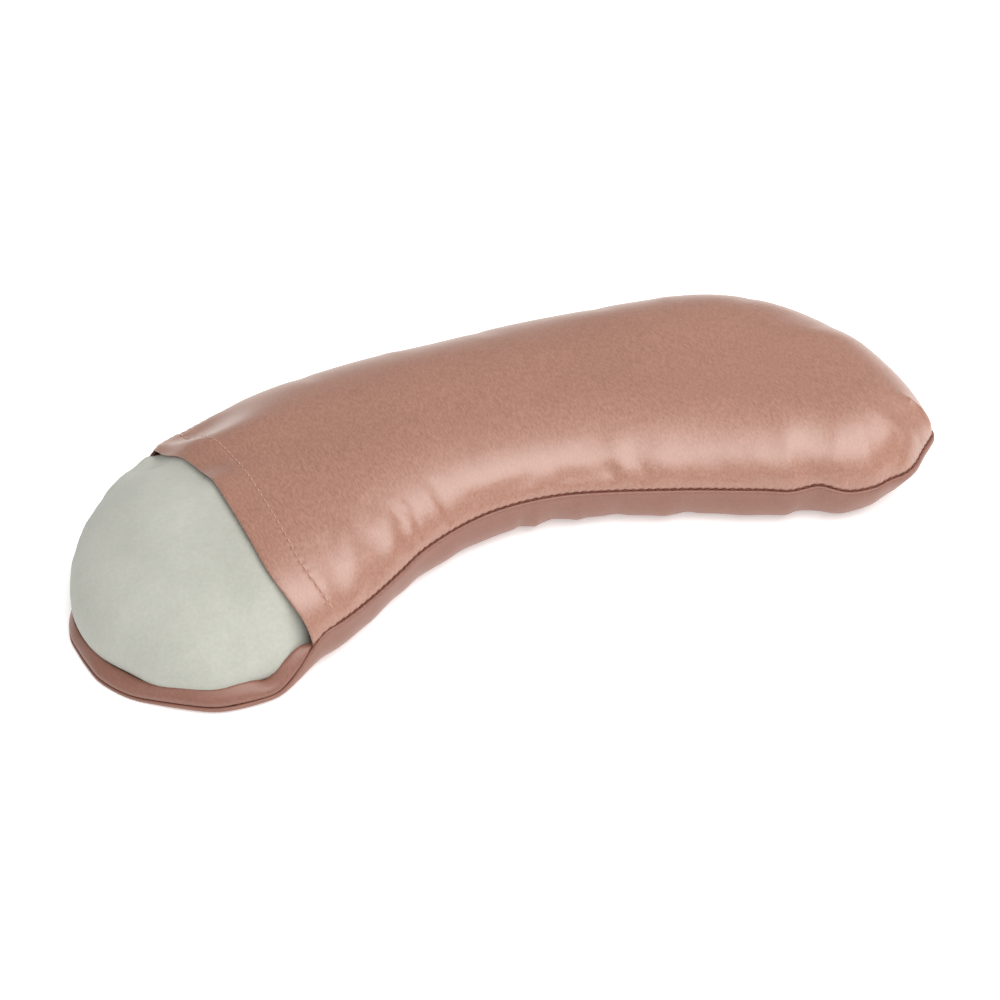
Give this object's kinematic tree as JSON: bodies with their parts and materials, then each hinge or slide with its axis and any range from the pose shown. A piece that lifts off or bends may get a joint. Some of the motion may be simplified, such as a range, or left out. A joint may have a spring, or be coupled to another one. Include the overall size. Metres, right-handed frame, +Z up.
{
  "type": "contoured eye pillow",
  "caption": "Bean-shaped weighted eye pillow: a satin cover, open at one end, around a seed-filled cotton insert that draws out.",
  "frame": {"origin": "centre of the footprint on the table, at the height of the flat underside", "axes": "+X along the length, with the open end at -X; +Y towards the long convex edge, with the notch for the nose at -Y; +Z up, away from the table"},
  "size_m": [0.2724, 0.1207, 0.0322],
  "materials": {
    "cover_satin": "satin",
    "cover_thread": "satin",
    "insert_cotton": "matte",
    "insert_thread": "matte",
    "seed": "satin"
  },
  "bodies": {
    "cover": {"cover_top_panel": "cover_satin", "cover_bottom_panel": "cover_satin", "cover_end_flap": "cover_satin", "cover_seam_thread": "cover_thread", "opening_hem_thread": "cover_thread", "flap_hem_thread": "cover_thread"},
    "insert": {"insert_top_panel": "insert_cotton", "insert_bottom_panel": "insert_cotton", "insert_seam_thread": "insert_thread", "insert_closing_stitch": "insert_thread", "seed_fill": "seed"}
  },
  "joints": [
    {"name": "insert_draw_out", "type": "hinge", "parent": "cover", "child": "insert", "pos_m": [0, -0.15, 0], "axis": [0, 0, 1], "range_deg": [0, 100], "deforming": ["cover_end_flap"]}
  ]
}
